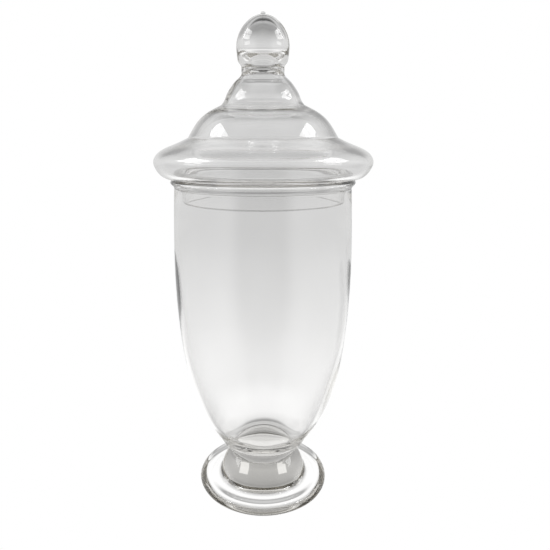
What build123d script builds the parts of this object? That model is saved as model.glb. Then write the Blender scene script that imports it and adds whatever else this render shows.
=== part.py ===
from build123d import *
import os
from math import hypot

# A footed display jar of blown clear glass with a drop-in domed lid. Millimetres, +Z up.
# The origin is on the jar's axis, in the plane that the foot stands on.

# Heights above the table
TOTAL_HEIGHT = 510.0
SHOULDER_HEIGHT = 21.0
WAIST_HEIGHT = 41.5
BOWL_SEAT_HEIGHT = 61.5
FLOOR_HEIGHT = 54.5
BELLY_HEIGHT = 252.0
RIM_HEIGHT = 352.7
EAVES_HEIGHT = 371.0
NECK_HEIGHT = 457.0
BALL_HEIGHT = 479.0

# Radii from the axis
FOOT_RADIUS = 73.5
SHOULDER_RADIUS = 47.0
WAIST_RADIUS = 36.3
BOWL_SEAT_RADIUS = 50.0
SEAT_BORE = 38.0
BELLY_RADIUS = 93.7
MOUTH_RADIUS = 86.5
EAVES_RADIUS = 110.3
NECK_RADIUS = 20.9
BALL_RADIUS = 25.6
TIP_RADIUS = 2.3

# Glass thickness
RIM_WALL = 4.7
BELLY_WALL = 5.0
FLANK_WALL = 6.6
HEEL_WALL = 7.0
LID_WALL = 4.2
BALL_WALL = 5.0

# The foot's rolled edge, the flat ring that it stands on and the recess inside that
ROLL_RADIUS = 6.5
STANDING_RING_WIDTH = 7.0
RECESS_DEPTH = 3.5

# The mouth's flared lip, and how the lid sits on it
LIP_RADIUS = 94.2
SEAT_RADIUS = 90.6
LAND_DEPTH = 30.0
LID_GAP = 0.3
COLLAR_CLEARANCE = 2.0
COLLAR_DEPTH = 22.5

LID_SEAT_HEIGHT = RIM_HEIGHT + LID_GAP
COLLAR_RADIUS = MOUTH_RADIUS - COLLAR_CLEARANCE
COLLAR_BORE = COLLAR_RADIUS - LID_WALL
NECK_BORE = 12.0
TIP_HEIGHT = 2.4
TIP_BASE_HEIGHT = TOTAL_HEIGHT - TIP_HEIGHT


def turned(*outline):
    """Turn a closed half section, drawn as (radius, height), into a solid about the axis."""
    return revolve(Plane.XZ * make_face(list(outline)), Axis.Z)


def inset(points, walls):
    """Move the points of an outline that runs down the outside into the glass, by each wall."""
    moved = []
    earlier = points[:1] + points[:-1]
    later = points[1:] + points[-1:]
    for before, point, after, wall in zip(earlier, points, later, walls):
        step = (after[0] - before[0], after[1] - before[1])
        scale = wall / hypot(*step)
        moved.append((point[0] + step[1] * scale, point[1] - step[0] * scale))
    return moved


def jar_bowl():
    """The tall blown bowl: a flared lip, a nearly straight belly and a wall that thickens downwards."""
    lip = [
        (90.6, RIM_HEIGHT - 8.0),
        (92.0, RIM_HEIGHT - 5.3),
        (LIP_RADIUS, RIM_HEIGHT - 2.8),
        (LIP_RADIUS - 0.7, RIM_HEIGHT - 0.9),
        (LIP_RADIUS - 2.6, RIM_HEIGHT),
    ]
    flank = [
        lip[0],
        (92.8, 300.0),
        (BELLY_RADIUS, BELLY_HEIGHT),
        (91.8, 202.0),
        (86.4, 155.0),
        (72.0, 101.5),
        (BOWL_SEAT_RADIUS, BOWL_SEAT_HEIGHT),
    ]
    walls = [RIM_WALL, RIM_WALL, BELLY_WALL, 6.0, FLANK_WALL, HEEL_WALL]
    inside = [
        (MOUTH_RADIUS, RIM_HEIGHT - 2.0),
        (MOUTH_RADIUS, RIM_HEIGHT - LAND_DEPTH),
        *inset(flank, walls)[1:6],
        (SEAT_BORE, BOWL_SEAT_HEIGHT),
    ]
    rounding = ThreePointArc(
        (MOUTH_RADIUS + 2.0, RIM_HEIGHT),
        (MOUTH_RADIUS + 0.6, RIM_HEIGHT - 0.6),
        inside[0],
    )
    return turned(
        Spline(*lip, tangents=[(0.3, 1.0), (-1.0, 0.0)]),
        Line(lip[-1], (MOUTH_RADIUS + 2.0, RIM_HEIGHT)),
        rounding,
        Spline(*inside, tangents=[(0.0, -1.0), (-0.62, -0.78)]),
        Line(inside[-1], flank[-1]),
        Spline(*flank),
    )


def jar_stem():
    """The drawn-in bottom of the bowl, closed by its floor and fused to the foot."""
    flank = Spline(
        (WAIST_RADIUS, WAIST_HEIGHT),
        (43.8, 51.5),
        (BOWL_SEAT_RADIUS, BOWL_SEAT_HEIGHT),
    )
    floor = Spline(
        (SEAT_BORE, BOWL_SEAT_HEIGHT),
        (31.5, 57.0),
        (22.0, FLOOR_HEIGHT + 0.3),
        (0.0, FLOOR_HEIGHT),
        tangents=[(-0.62, -0.78), (-1.0, 0.0)],
    )
    seat = Line((BOWL_SEAT_RADIUS, BOWL_SEAT_HEIGHT), (SEAT_BORE, BOWL_SEAT_HEIGHT))
    ends = Polyline((0.0, FLOOR_HEIGHT), (0.0, WAIST_HEIGHT), (WAIST_RADIUS, WAIST_HEIGHT))
    return turned(flank, seat, floor, ends)


def jar_foot():
    """The solid pressed foot: a stepped crown, a brim and a thick rolled edge that it stands on."""
    roll_centre = FOOT_RADIUS - ROLL_RADIUS
    ring_outer = roll_centre + 0.3 * STANDING_RING_WIDTH
    ring_inner = ring_outer - STANDING_RING_WIDTH
    crown = Spline(
        (WAIST_RADIUS, WAIST_HEIGHT),
        (SHOULDER_RADIUS - 3.5, SHOULDER_HEIGHT + 9.0),
        (SHOULDER_RADIUS, SHOULDER_HEIGHT),
    )
    cove = Spline(
        (SHOULDER_RADIUS, SHOULDER_HEIGHT),
        (49.0, 16.0),
        (53.0, 13.0),
        (60.5, 12.1),
        (roll_centre, 2.0 * ROLL_RADIUS),
        tangents=[(0.1, -1.0), (1.0, 0.0)],
    )
    roll = ThreePointArc(
        (roll_centre, 2.0 * ROLL_RADIUS),
        (FOOT_RADIUS, ROLL_RADIUS),
        (ring_outer, 0.0),
    )
    standing_ring = Line((ring_outer, 0.0), (ring_inner, 0.0))
    recess = Spline(
        (ring_inner, 0.0),
        (56.0, 0.9),
        (30.0, RECESS_DEPTH - 0.3),
        (0.0, RECESS_DEPTH),
        tangents=[(-1.0, 0.1), (-1.0, 0.0)],
    )
    ends = Polyline((0.0, RECESS_DEPTH), (0.0, WAIST_HEIGHT), (WAIST_RADIUS, WAIST_HEIGHT))
    return turned(crown, cove, roll, standing_ring, recess, ends)


def lid_canopy():
    """The two-tiered dome of the lid, with a hollow rolled brim that rests on the mouth."""
    upper_tier = [
        (NECK_RADIUS, NECK_HEIGHT),
        (21.1, 453.2),
        (24.0, 449.8),
        (28.0, 446.0),
        (32.1, 440.7),
        (35.9, 434.3),
        (37.9, 429.4),
        (41.4, 424.8),
    ]
    lower_tier = [
        upper_tier[-1],
        (51.4, 419.9),
        (63.3, 411.2),
        (70.3, 402.0),
        (75.2, 393.8),
    ]
    brim = [
        lower_tier[-1],
        (88.3, 387.8),
        (101.3, 382.2),
        (108.3, 376.2),
        (EAVES_RADIUS, EAVES_HEIGHT),
        (108.5, 364.2),
        (102.6, 357.0),
        (96.5, 354.3),
        (SEAT_RADIUS, LID_SEAT_HEIGHT),
    ]
    shell = upper_tier + lower_tier[1:] + brim[1:]
    inner = inset(shell, [LID_WALL] * len(shell))
    fold = len(upper_tier) + len(lower_tier) - 2
    inner_brim = inner[fold:-1] + [(SEAT_RADIUS, LID_SEAT_HEIGHT + LID_WALL)]
    seat = Polyline(
        (SEAT_RADIUS, LID_SEAT_HEIGHT),
        (COLLAR_BORE, LID_SEAT_HEIGHT),
        (COLLAR_BORE, LID_SEAT_HEIGHT + LID_WALL),
        (SEAT_RADIUS, LID_SEAT_HEIGHT + LID_WALL),
    )
    outside = [Spline(*upper_tier), Spline(*lower_tier), Spline(*brim)]
    inner_tiers = [(NECK_BORE, NECK_HEIGHT), *inner[1 : fold + 1]]
    inside = [Spline(*inner_tiers), Spline(*inner_brim)]
    top = Line((NECK_BORE, NECK_HEIGHT), (NECK_RADIUS, NECK_HEIGHT))
    return turned(*outside, seat, *inside, top)


def lid_collar():
    """The drop-in ring below the lid, which centres it in the mouth."""
    bottom = LID_SEAT_HEIGHT - COLLAR_DEPTH
    edge_radius = LID_WALL / 2.0
    edge_centre = COLLAR_RADIUS - edge_radius
    sides = Polyline(
        (COLLAR_RADIUS, bottom + edge_radius),
        (COLLAR_RADIUS, LID_SEAT_HEIGHT),
        (COLLAR_BORE, LID_SEAT_HEIGHT),
        (COLLAR_BORE, bottom + edge_radius),
    )
    edge = ThreePointArc(
        (COLLAR_BORE, bottom + edge_radius),
        (edge_centre, bottom),
        (COLLAR_RADIUS, bottom + edge_radius),
    )
    return turned(sides, edge)


def lid_finial():
    """The hollow ball that the lid is lifted by, open through its neck to the dome."""
    neck = Line((NECK_RADIUS, NECK_HEIGHT), (NECK_RADIUS, 459.4))
    step = ThreePointArc((NECK_RADIUS, 459.4), (21.6, 462.0), (23.4, 464.2))
    ball = Spline(
        (23.4, 464.2),
        (24.9, 470.0),
        (BALL_RADIUS, BALL_HEIGHT),
        (20.9, 494.7),
        (TIP_RADIUS, TIP_BASE_HEIGHT),
        tangents=[(0.35, 1.0), (-1.0, 0.1)],
    )
    pontil = Line((TIP_RADIUS, TIP_BASE_HEIGHT), (0.0, TIP_BASE_HEIGHT))
    axis_edge = Line((0.0, TIP_BASE_HEIGHT), (0.0, TIP_BASE_HEIGHT - BALL_WALL))
    inside = Spline(
        (0.0, TIP_BASE_HEIGHT - BALL_WALL),
        (17.0, 492.0),
        (BALL_RADIUS - BALL_WALL, BALL_HEIGHT),
        (18.6, 472.6),
        (14.5, 468.6),
        (NECK_BORE, 464.0),
        (NECK_BORE, NECK_HEIGHT),
        tangents=[(1.0, 0.0), (0.0, -1.0)],
    )
    joint = Line((NECK_BORE, NECK_HEIGHT), (NECK_RADIUS, NECK_HEIGHT))
    return turned(neck, step, ball, pontil, axis_edge, inside, joint)


def finial_tip():
    """The small nub on top of the ball, left where the glass was cracked off."""
    shank = Polyline(
        (0.0, TOTAL_HEIGHT),
        (0.0, TIP_BASE_HEIGHT),
        (TIP_RADIUS, TIP_BASE_HEIGHT),
        (TIP_RADIUS, TOTAL_HEIGHT - 1.2),
    )
    crown = Spline(
        (TIP_RADIUS, TOTAL_HEIGHT - 1.2),
        (0.0, TOTAL_HEIGHT),
        tangents=[(0.0, 1.0), (-1.0, 0.0)],
    )
    return turned(shank, crown)


NODES = {
    "jar_bowl": jar_bowl,
    "jar_stem": jar_stem,
    "jar_foot": jar_foot,
    "lid_canopy": lid_canopy,
    "lid_collar": lid_collar,
    "lid_finial": lid_finial,
    "finial_tip": finial_tip,
}

os.makedirs("parts", exist_ok=True)
for name, make in NODES.items():
    export_step(make(), f"parts/{name}.step")
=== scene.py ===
from math import cos, hypot, pi, radians, sin

import bmesh
import bpy
import numpy as np
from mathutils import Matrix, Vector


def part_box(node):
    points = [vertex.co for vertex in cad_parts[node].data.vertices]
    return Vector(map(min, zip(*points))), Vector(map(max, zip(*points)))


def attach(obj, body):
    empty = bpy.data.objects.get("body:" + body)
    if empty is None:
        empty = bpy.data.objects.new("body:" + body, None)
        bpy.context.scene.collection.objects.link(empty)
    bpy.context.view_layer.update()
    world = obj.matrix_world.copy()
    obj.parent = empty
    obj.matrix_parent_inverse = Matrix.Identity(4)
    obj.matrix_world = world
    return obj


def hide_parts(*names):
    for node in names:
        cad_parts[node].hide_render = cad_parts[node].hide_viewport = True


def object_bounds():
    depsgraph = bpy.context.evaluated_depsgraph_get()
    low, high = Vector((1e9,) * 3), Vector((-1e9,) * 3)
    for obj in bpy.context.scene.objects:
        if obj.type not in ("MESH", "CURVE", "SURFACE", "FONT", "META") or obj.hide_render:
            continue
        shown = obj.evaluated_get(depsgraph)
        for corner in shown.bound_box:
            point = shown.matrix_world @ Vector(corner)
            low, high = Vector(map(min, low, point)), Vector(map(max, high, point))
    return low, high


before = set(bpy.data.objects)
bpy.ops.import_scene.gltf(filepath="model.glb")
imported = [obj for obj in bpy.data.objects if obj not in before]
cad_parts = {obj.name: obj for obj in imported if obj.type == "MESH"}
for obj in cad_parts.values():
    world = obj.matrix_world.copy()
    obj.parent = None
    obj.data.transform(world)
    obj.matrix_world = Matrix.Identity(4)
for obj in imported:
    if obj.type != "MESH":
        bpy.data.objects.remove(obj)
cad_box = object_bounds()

# A footed display jar of clear glass with a drop-in domed lid. Outlines are (radius, height)
# in millimetres, drawn from the same driving sizes as the CAD, and turned in metres.

MM = 0.001
TURNS = 160  # faces round the axis
STEP = 1.6  # the longest edge of an outline's curves, or nearly
WAVER_SPAN = 40.0  # distance over which waver grows, from the axis and from the lid's seat

# Heights and radii, from the CAD's boxes where they give them
JAR_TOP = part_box("jar_bowl")[1][2] / MM
TOTAL_HEIGHT = cad_box[1][2] / MM
FOOT_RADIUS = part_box("jar_foot")[1][0] / MM
WAIST_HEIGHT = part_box("jar_stem")[0][2] / MM
BOWL_SEAT_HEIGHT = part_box("jar_stem")[1][2] / MM
NECK_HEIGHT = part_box("lid_finial")[0][2] / MM
COLLAR_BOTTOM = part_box("lid_collar")[0][2] / MM
LID_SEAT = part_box("lid_collar")[1][2] / MM
COLLAR_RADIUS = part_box("lid_collar")[1][0] / MM
TIP_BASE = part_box("finial_tip")[0][2] / MM

SHOULDER_HEIGHT = 21.0
SHOULDER_RADIUS = 47.0
WAIST_RADIUS = 36.3
BOWL_SEAT_RADIUS = 50.0
SEAT_BORE = 38.0
BELLY_HEIGHT = 252.0
BELLY_RADIUS = 93.7
MOUTH_RADIUS = 86.5
FLOOR_HEIGHT = 54.5
EAVES_HEIGHT = 371.0
EAVES_RADIUS = 110.3
NECK_RADIUS = 20.9
NECK_BORE = 12.0
BALL_HEIGHT = 479.0
BALL_RADIUS = 25.6
TIP_RADIUS = 2.3

# Glass thickness, and the edges of the foot, the mouth and the lid
RIM_WALL = 4.7
BELLY_WALL = 5.0
UNDER_BELLY_WALL = 6.0
FLANK_WALL = 6.6
HEEL_WALL = 7.0
LID_WALL = 4.2
BALL_WALL = 5.0
ROLL_RADIUS = 6.5
STANDING_RING_WIDTH = 7.0
RECESS_DEPTH = 3.5
LIP_RADIUS = 94.2
SEAT_RADIUS = 90.6
MOUTH_EDGE = 2.0
TIP_EDGE = 1.2
COLLAR_EDGE = 1.2
COLLAR_TOP_EDGE = 1.5

# Glass
REFRACTION = 1.51
TINT = (0.62, 0.59, 0.52, 1.0)
TINT_DENSITY = 5.5
RIPPLE_PER_METRE = (16.0, 16.0, 5.0)
RIPPLE_DEPTH = 0.0004

# The fades from one part of the studio to the next, as parts of a unit direction
ROOM_TO_BACKDROP = (-0.45, 0.1)
MIDDLE_TO_SIDES = (0.42, 0.75)

# Windows, in metres. The camera's lens is in millimetres, its shift in widths of the picture,
# its place in heights of the jar and its tilt in degrees.
WINDOW_DISTANCE = 1.6
WINDOW_AIM = 0.27
CAMERA_LENS = 34.7
CAMERA_SHIFT = 0.0216
CAMERA_BACK = 1.085
CAMERA_UP = 0.781
CAMERA_TILT = 15.0


def smooth(points, start=None, end=None):
    """A cubic spline through the points, parametrised by chord, sampled every STEP or so."""
    p = np.array(points, float)
    chord = np.hypot(*(p[1:] - p[:-1]).T)
    count = len(p)
    matrix = np.zeros((count, count))
    right = np.zeros((count, 2))
    for i in range(1, count - 1):
        before, after = chord[i - 1], chord[i]
        matrix[i, i - 1 : i + 2] = after, 2.0 * (before + after), before
        right[i] = 3.0 * (
            (p[i] - p[i - 1]) / before * after + (p[i + 1] - p[i]) / after * before
        )
    for row, near, other, given in ((0, 0, 1, start), (count - 1, count - 1, count - 2, end)):
        if given is None:
            matrix[row, near], matrix[row, other] = 2.0, 1.0
            span = chord[0] if row == 0 else chord[-1]
            sign = 1.0 if row == 0 else -1.0
            right[row] = 3.0 * sign * (p[other] - p[near]) / span
        else:
            matrix[row, near] = 1.0
            right[row] = np.array(given, float) / hypot(*given)
    slope = np.linalg.solve(matrix, right)
    run = []
    for i in range(count - 1):
        steps = max(2, int(np.ceil(chord[i] / STEP)))
        for k in range(steps):
            t = k / steps
            h00, h10 = 2 * t**3 - 3 * t**2 + 1, t**3 - 2 * t**2 + t
            h01, h11 = -2 * t**3 + 3 * t**2, t**3 - t**2
            point = h00 * p[i] + h01 * p[i + 1] + chord[i] * (h10 * slope[i] + h11 * slope[i + 1])
            run.append(tuple(point))
    run.append(tuple(p[-1]))
    return run


def arc(centre, radius, first, last, steps=14):
    """Points along an arc, between two angles in degrees."""
    angles = [radians(first + (last - first) * k / steps) for k in range(steps + 1)]
    return [(centre[0] + radius * cos(a), centre[1] + radius * sin(a)) for a in angles]


def inset(points, walls):
    """Move the points of an outline that runs down the outside into the glass, by each wall."""
    moved = []
    earlier = points[:1] + points[:-1]
    later = points[1:] + points[-1:]
    for before, point, after, wall in zip(earlier, points, later, walls):
        step = (after[0] - before[0], after[1] - before[1])
        scale = wall / hypot(*step)
        moved.append((point[0] + step[1] * scale, point[1] - step[0] * scale))
    return moved


def joined(*runs):
    """One outline from several runs, without the points that they share."""
    outline = list(runs[0])
    for run in runs[1:]:
        skip = 1 if hypot(run[0][0] - outline[-1][0], run[0][1] - outline[-1][1]) < 1e-6 else 0
        outline += run[skip:]
    return outline


def waver(angle, run, height):
    """How far a hand-worked surface strays from round, in millimetres, less near the lid's seat."""
    stray = 0.30 * sin(2.0 * angle + 0.9 + 0.012 * run)
    stray += 0.20 * sin(3.0 * angle - 0.019 * run)
    stray += 0.12 * sin(5.0 * angle + 2.1 + 0.031 * run)
    stray += 0.07 * sin(9.0 * angle + 0.4 - 0.045 * run)
    return stray * min(1.0, 0.25 + abs(height - JAR_TOP) / WAVER_SPAN)


def turned(name, outline):
    """A closed mesh turned about the axis, from an outline that starts and ends on it."""
    mesh = bmesh.new()
    rings = []
    run = 0.0
    last = outline[0]
    for radius, height in outline:
        run += hypot(radius - last[0], height - last[1])
        last = (radius, height)
        if radius < 1e-6:
            rings.append([mesh.verts.new((0.0, 0.0, height * MM))])
            continue
        ring = []
        for k in range(TURNS):
            angle = 2.0 * pi * k / TURNS
            reach = radius + waver(angle, run, height) * min(1.0, radius / WAVER_SPAN)
            place = (reach * cos(angle) * MM, reach * sin(angle) * MM, height * MM)
            ring.append(mesh.verts.new(place))
        rings.append(ring)
    for low, high in zip(rings, rings[1:]):
        for k in range(TURNS):
            after = (k + 1) % TURNS
            if len(low) == 1:
                mesh.faces.new((low[0], high[k], high[after]))
            elif len(high) == 1:
                mesh.faces.new((low[k], high[0], low[after]))
            else:
                mesh.faces.new((low[k], high[k], high[after], low[after]))
    bmesh.ops.recalc_face_normals(mesh, faces=mesh.faces[:])
    data = bpy.data.meshes.new(name)
    mesh.to_mesh(data)
    mesh.free()
    for face in data.polygons:
        face.use_smooth = True
    piece = bpy.data.objects.new(name, data)
    bpy.context.scene.collection.objects.link(piece)
    return piece


def foot_outline():
    """From the middle of the recess, round the standing ring and the rolled edge, to the waist."""
    roll_centre = FOOT_RADIUS - ROLL_RADIUS
    ring_outer = roll_centre + 0.3 * STANDING_RING_WIDTH
    ring_inner = ring_outer - STANDING_RING_WIDTH
    recess = smooth(
        [
            (0.0, RECESS_DEPTH),
            (30.0, RECESS_DEPTH - 0.3),
            (56.0, 0.9),
            (ring_inner, 0.0),
        ],
        start=(1.0, 0.0),
    )
    roll = arc((roll_centre, ROLL_RADIUS), ROLL_RADIUS, -71.0, 90.0)
    cove = smooth(
        [
            (roll_centre, 2.0 * ROLL_RADIUS),
            (60.5, 12.1),
            (53.0, 13.0),
            (49.0, 16.0),
            (SHOULDER_RADIUS, SHOULDER_HEIGHT),
        ],
        start=(-1.0, 0.0),
        end=(-0.1, 1.0),
    )
    crown = smooth(
        [
            (SHOULDER_RADIUS, SHOULDER_HEIGHT),
            (SHOULDER_RADIUS - 3.5, SHOULDER_HEIGHT + 9.0),
            (WAIST_RADIUS, WAIST_HEIGHT),
        ]
    )
    return joined(recess, [(ring_outer, 0.0)], roll, cove, crown)


def jar_outline():
    """The whole jar: the foot, the stem, the bowl's outside, its lip and its inside."""
    stem = smooth(
        [
            (WAIST_RADIUS, WAIST_HEIGHT),
            (43.8, 51.5),
            (BOWL_SEAT_RADIUS, BOWL_SEAT_HEIGHT),
        ]
    )
    lip = smooth(
        [
            (SEAT_RADIUS, JAR_TOP - 8.0),
            (92.0, JAR_TOP - 5.3),
            (LIP_RADIUS, JAR_TOP - 2.8),
            (LIP_RADIUS - 0.7, JAR_TOP - 0.9),
            (LIP_RADIUS - 2.6, JAR_TOP),
        ],
        end=(-1.0, 0.0),
    )
    flank = [
        lip[0],
        (92.8, 300.0),
        (BELLY_RADIUS, BELLY_HEIGHT),
        (91.8, 202.0),
        (86.4, 155.0),
        (72.0, 101.5),
        (BOWL_SEAT_RADIUS, BOWL_SEAT_HEIGHT),
    ]
    walls = [RIM_WALL, RIM_WALL, BELLY_WALL, UNDER_BELLY_WALL, FLANK_WALL, HEEL_WALL]
    inside = smooth(
        [
            (MOUTH_RADIUS, JAR_TOP - MOUTH_EDGE),
            (MOUTH_RADIUS, JAR_TOP - 30.0),
            *inset(flank, walls)[1:6],
            (SEAT_BORE, BOWL_SEAT_HEIGHT),
            (31.5, 57.0),
            (22.0, FLOOR_HEIGHT + 0.3),
            (0.0, FLOOR_HEIGHT),
        ],
        start=(0.0, -1.0),
        end=(-1.0, 0.0),
    )
    mouth_centre = (MOUTH_RADIUS + MOUTH_EDGE, JAR_TOP - MOUTH_EDGE)
    mouth = arc(mouth_centre, MOUTH_EDGE, 90.0, 180.0, 6)
    return joined(foot_outline(), stem, smooth(flank[::-1]), lip, mouth, inside)


def lid_outline():
    """The whole lid: the tip, the ball, the two tiers, the brim, the collar and the inside."""
    tip = joined(
        arc((TIP_RADIUS - TIP_EDGE, TOTAL_HEIGHT - TIP_EDGE), TIP_EDGE, 90.0, 0.0, 5),
        [(TIP_RADIUS, TIP_BASE)],
    )
    ball = smooth(
        [
            (TIP_RADIUS, TIP_BASE),
            (20.9, 494.7),
            (BALL_RADIUS, BALL_HEIGHT),
            (24.9, 470.0),
            (23.4, 464.2),
            (21.6, 462.0),
            (NECK_RADIUS, 459.4),
            (NECK_RADIUS, NECK_HEIGHT),
        ],
        start=(1.0, -0.1),
        end=(0.0, -1.0),
    )
    upper_tier = [
        (NECK_RADIUS, NECK_HEIGHT),
        (21.1, 453.2),
        (24.0, 449.8),
        (28.0, 446.0),
        (32.1, 440.7),
        (35.9, 434.3),
        (37.9, 429.4),
        (41.4, 424.8),
    ]
    lower_tier = [upper_tier[-1], (51.4, 419.9), (63.3, 411.2), (70.3, 402.0), (75.2, 393.8)]
    brim = [
        lower_tier[-1],
        (88.3, 387.8),
        (101.3, 382.2),
        (108.3, 376.2),
        (EAVES_RADIUS, EAVES_HEIGHT),
        (108.5, 364.2),
        (102.6, 357.0),
        (96.5, 354.3),
        (SEAT_RADIUS, LID_SEAT),
    ]
    shell = upper_tier + lower_tier[1:] + brim[1:]
    inner = inset(shell, [LID_WALL] * len(shell))
    edge = LID_WALL / 2.0
    collar_bore = COLLAR_RADIUS - LID_WALL
    collar = joined(
        [(SEAT_RADIUS, LID_SEAT), (COLLAR_RADIUS + COLLAR_EDGE, LID_SEAT)],
        [(COLLAR_RADIUS, LID_SEAT - COLLAR_EDGE)],
        arc((COLLAR_RADIUS - edge, COLLAR_BOTTOM + edge), edge, 0.0, -180.0),
        [(collar_bore, LID_SEAT + LID_WALL - COLLAR_TOP_EDGE)],
        [(collar_bore + COLLAR_TOP_EDGE, LID_SEAT + LID_WALL)],
        [(SEAT_RADIUS, LID_SEAT + LID_WALL)],
    )
    fold = len(upper_tier) + len(lower_tier) - 2
    inner_brim = smooth(([*inner[fold:-1], (SEAT_RADIUS, LID_SEAT + LID_WALL)])[::-1])
    inner_tiers = smooth([*inner[1 : fold + 1][::-1], (NECK_BORE, NECK_HEIGHT)])
    cavity = smooth(
        [
            (NECK_BORE, NECK_HEIGHT),
            (NECK_BORE, 464.0),
            (14.5, 468.6),
            (18.6, 472.6),
            (BALL_RADIUS - BALL_WALL, BALL_HEIGHT),
            (17.0, 492.0),
            (0.0, TIP_BASE - BALL_WALL),
        ],
        start=(0.0, 1.0),
        end=(-1.0, 0.0),
    )
    return joined(
        [(0.0, TOTAL_HEIGHT)],
        tip,
        ball,
        smooth(upper_tier),
        smooth(lower_tier),
        smooth(brim),
        collar,
        inner_brim,
        inner_tiers,
        cavity,
    )


def glass(name):
    """Clear soda-lime glass with a faint ripple and a tint that shows where it is thick."""
    material = bpy.data.materials.new(name)
    material.use_nodes = True
    nodes = material.node_tree.nodes
    links = material.node_tree.links
    shader = nodes["Principled BSDF"]
    shader.inputs["Base Color"].default_value = (1.0, 1.0, 1.0, 1.0)
    shader.inputs["Roughness"].default_value = 0.0
    shader.inputs["IOR"].default_value = REFRACTION
    shader.inputs["Transmission Weight"].default_value = 1.0

    # The ripple is drawn out along the jar's height, as blown glass is.
    place = nodes.new("ShaderNodeTexCoord")
    stretch = nodes.new("ShaderNodeMapping")
    stretch.inputs["Scale"].default_value = RIPPLE_PER_METRE
    links.new(place.outputs["Object"], stretch.inputs["Vector"])
    ripple = nodes.new("ShaderNodeTexNoise")
    ripple.inputs["Scale"].default_value = 1.0
    ripple.inputs["Detail"].default_value = 1.0
    links.new(stretch.outputs["Vector"], ripple.inputs["Vector"])
    cast = nodes.new("ShaderNodeBump")
    cast.inputs["Strength"].default_value = 1.0
    cast.inputs["Distance"].default_value = RIPPLE_DEPTH
    links.new(ripple.outputs["Fac"], cast.inputs["Height"])
    links.new(cast.outputs["Normal"], shader.inputs["Normal"])

    body = nodes.new("ShaderNodeVolumeAbsorption")
    body.inputs["Color"].default_value = TINT
    body.inputs["Density"].default_value = TINT_DENSITY
    links.new(body.outputs["Volume"], nodes["Material Output"].inputs["Volume"])
    return material


# The studio as the glass sees it: (degrees above the horizon, brightness). The backdrop is
# behind the jar, the room on the camera's side, and the sides to the left and right.
BACKDROP = [
    (-90, 0.8),
    (-60, 0.8),
    (-52, 0.6),
    (-47, 0.4),
    (-43, 0.95),
    (-39, 1.12),
    (-31, 1.12),
    (-28, 1.08),
    (-25, 0.98),
    (-22, 0.88),
    (-18, 0.79),
    (-12, 0.70),
    (-7, 0.66),
    (0, 0.74),
    (6, 0.74),
    (10, 0.66),
    (14, 0.5),
    (18, 0.36),
    (26, 0.36),
    (31, 0.55),
    (40, 0.65),
    (48, 0.30),
    (58, 0.07),
    (90, 0.07),
]
ROOM = [(-90, 0.1), (-40, 0.12), (-16, 0.2), (10, 0.25), (20, 0.15), (90, 0.1)]
SIDES = [(-90, 0.15), (-45, 0.2), (-26, 0.7), (30, 0.75), (45, 0.45), (58, 0.2), (90, 0.2)]


def by_elevation(tree, height, stops):
    """A grey that depends on a direction's height above the horizon."""
    spread = tree.nodes.new("ShaderNodeMapRange")
    spread.inputs["From Min"].default_value = -1.0
    spread.inputs["From Max"].default_value = 1.0
    tree.links.new(height, spread.inputs["Value"])
    ramp = tree.nodes.new("ShaderNodeValToRGB")
    tree.links.new(spread.outputs["Result"], ramp.inputs["Fac"])
    marks = ramp.color_ramp.elements
    while len(marks) < len(stops):
        marks.new(0.5)
    for mark, (elevation, value) in zip(marks, stops):
        mark.position = 0.5 + 0.5 * sin(radians(elevation))
        mark.color = (value, value, value, 1.0)
    return ramp.outputs["Color"]


def crossfade(tree, value, start, end, first, second):
    """Fade from the first colour to the second as the value goes from start to end."""
    fade = tree.nodes.new("ShaderNodeMapRange")
    fade.interpolation_type = "SMOOTHSTEP"
    fade.inputs["From Min"].default_value = start
    fade.inputs["From Max"].default_value = end
    tree.links.new(value, fade.inputs["Value"])
    blend = tree.nodes.new("ShaderNodeMix")
    blend.data_type = "RGBA"
    tree.links.new(fade.outputs["Result"], blend.inputs["Factor"])
    tree.links.new(first, blend.inputs["A"])
    tree.links.new(second, blend.inputs["B"])
    return blend.outputs["Result"]


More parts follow.
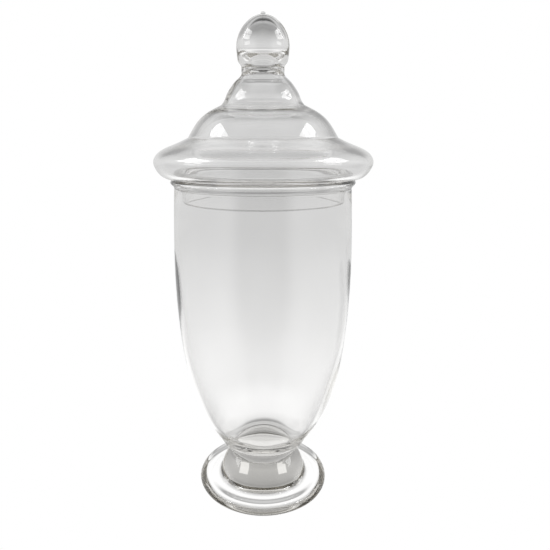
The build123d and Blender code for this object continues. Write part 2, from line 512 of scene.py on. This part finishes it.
def stage():
    """A plain pale floor, and a soft studio world that only the glass sees."""
    scene = bpy.context.scene
    data = bpy.data.meshes.new("floor")
    size = 6.0  # metres from the axis to each edge
    data.from_pydata(
        [(-size, -size, 0.0), (size, -size, 0.0), (size, size, 0.0), (-size, size, 0.0)],
        [],
        [(0, 1, 2, 3)],
    )
    floor = bpy.data.objects.new("floor", data)
    floor.location.z = -0.0005  # just under the foot
    scene.collection.objects.link(floor)
    material = bpy.data.materials.new("floor_paint")
    material.use_nodes = True
    tree = material.node_tree
    tree.nodes.clear()
    out = tree.nodes.new("ShaderNodeOutputMaterial")
    emit = tree.nodes.new("ShaderNodeEmission")
    emit.inputs["Color"].default_value = (1.0, 1.0, 1.0, 1.0)
    tree.links.new(emit.outputs[0], out.inputs["Surface"])
    data.materials.append(material)
    floor.visible_transmission = False
    floor.visible_glossy = False

    room = bpy.data.worlds.new("studio")
    scene.world = room
    room.use_nodes = True
    tree = room.node_tree
    tree.nodes.clear()
    out = tree.nodes.new("ShaderNodeOutputWorld")
    white = tree.nodes.new("ShaderNodeBackground")
    white.inputs["Color"].default_value = (1.0, 1.0, 1.0, 1.0)
    seen_in_glass = tree.nodes.new("ShaderNodeBackground")
    place = tree.nodes.new("ShaderNodeTexCoord")
    split = tree.nodes.new("ShaderNodeSeparateXYZ")
    tree.links.new(place.outputs["Generated"], split.inputs[0])
    behind = by_elevation(tree, split.outputs["Z"], BACKDROP)
    before = by_elevation(tree, split.outputs["Z"], ROOM)
    beside = by_elevation(tree, split.outputs["Z"], SIDES)
    level = crossfade(tree, split.outputs["Y"], *ROOM_TO_BACKDROP, before, behind)
    across = tree.nodes.new("ShaderNodeMath")
    across.operation = "ABSOLUTE"
    tree.links.new(split.outputs["X"], across.inputs[0])
    around = crossfade(tree, across.outputs[0], *MIDDLE_TO_SIDES, level, beside)
    tree.links.new(around, seen_in_glass.inputs["Color"])
    ray = tree.nodes.new("ShaderNodeLightPath")
    mix = tree.nodes.new("ShaderNodeMixShader")
    tree.links.new(ray.outputs["Is Camera Ray"], mix.inputs["Fac"])
    tree.links.new(seen_in_glass.outputs[0], mix.inputs[1])
    tree.links.new(white.outputs[0], mix.inputs[2])
    tree.links.new(mix.outputs[0], out.inputs["Surface"])


def softbox(name, azimuth, elevation, width, height, power, lights, through=False):
    """A window that lights one of the two pieces. It is reflected, or also seen through the glass."""
    light = bpy.data.lights.new(name, "AREA")
    light.shape = "RECTANGLE"
    light.size = width
    light.size_y = height
    light.energy = power
    lamp = bpy.data.objects.new(name, light)
    flat = WINDOW_DISTANCE * cos(radians(elevation))
    lamp.location = (
        flat * sin(radians(azimuth)),
        -flat * cos(radians(azimuth)),
        WINDOW_AIM + WINDOW_DISTANCE * sin(radians(elevation)),
    )
    lamp.rotation_euler = (radians(90.0 - elevation), 0.0, radians(azimuth))
    lamp.visible_camera = False
    lamp.visible_transmission = through

    receivers = bpy.data.collections.new(name)
    receivers.objects.link(lights)
    lamp.light_linking.receiver_collection = receivers
    bpy.context.scene.collection.objects.link(lamp)


def camera():
    """Close to the jar and level with its lid, looking down a little."""
    data = bpy.data.cameras.new("camera")
    data.sensor_width = 36.0
    data.lens = CAMERA_LENS
    data.shift_x = CAMERA_SHIFT
    data.clip_start = 0.01
    cam = bpy.data.objects.new("camera", data)
    height = TOTAL_HEIGHT * MM
    cam.location = (0.0, -CAMERA_BACK * height, CAMERA_UP * height)
    cam.rotation_euler = (radians(90.0 - CAMERA_TILT), 0.0, 0.0)
    bpy.context.scene.collection.objects.link(cam)
    bpy.context.scene.camera = cam


jar = turned("jar_glass", jar_outline())
lid = turned("lid_glass", lid_outline())
jar.data.materials.append(glass("jar_glass_paint"))
lid.data.materials.append(glass("lid_glass_paint"))
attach(jar, "jar")
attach(lid, "lid")
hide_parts("jar_bowl", "jar_stem", "jar_foot")
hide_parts("lid_canopy", "lid_collar", "lid_finial", "finial_tip")

stage()
for side in (-1.0, 1.0):
    for column in (-9.0, 9.0):
        for row in (34.0, 46.0):
            name = f"pane_{side:.0f}_{column:.0f}_{row:.0f}"
            softbox(name, side * (85.0 + column), row, 0.45, 0.3, power=2.4, lights=lid)
    softbox(f"low_{side:.0f}", side * 72.0, 18.0, 0.6, 0.25, power=1.5, lights=lid)
    softbox(f"window_{side:.0f}", side * 65.0, 32.0, 0.3, 0.5, power=5.0, lights=jar)
    softbox(f"side_{side:.0f}", side * 98.0, 22.0, 1.1, 1.0, power=12.0, lights=jar)
    softbox(f"far_{side:.0f}", side * 158.0, 31.0, 0.28, 0.2, power=0.08, lights=jar, through=True)
camera()

scene = bpy.context.scene
scene.view_settings.view_transform = "Standard"
# Light takes many turns inside thick glass.
scene.cycles.max_bounces = 128
scene.cycles.transmission_bounces = 128
scene.cycles.glossy_bounces = 64
for piece in (jar, lid):
    piece.visible_shadow = False  # clear glass on a bright floor throws next to none
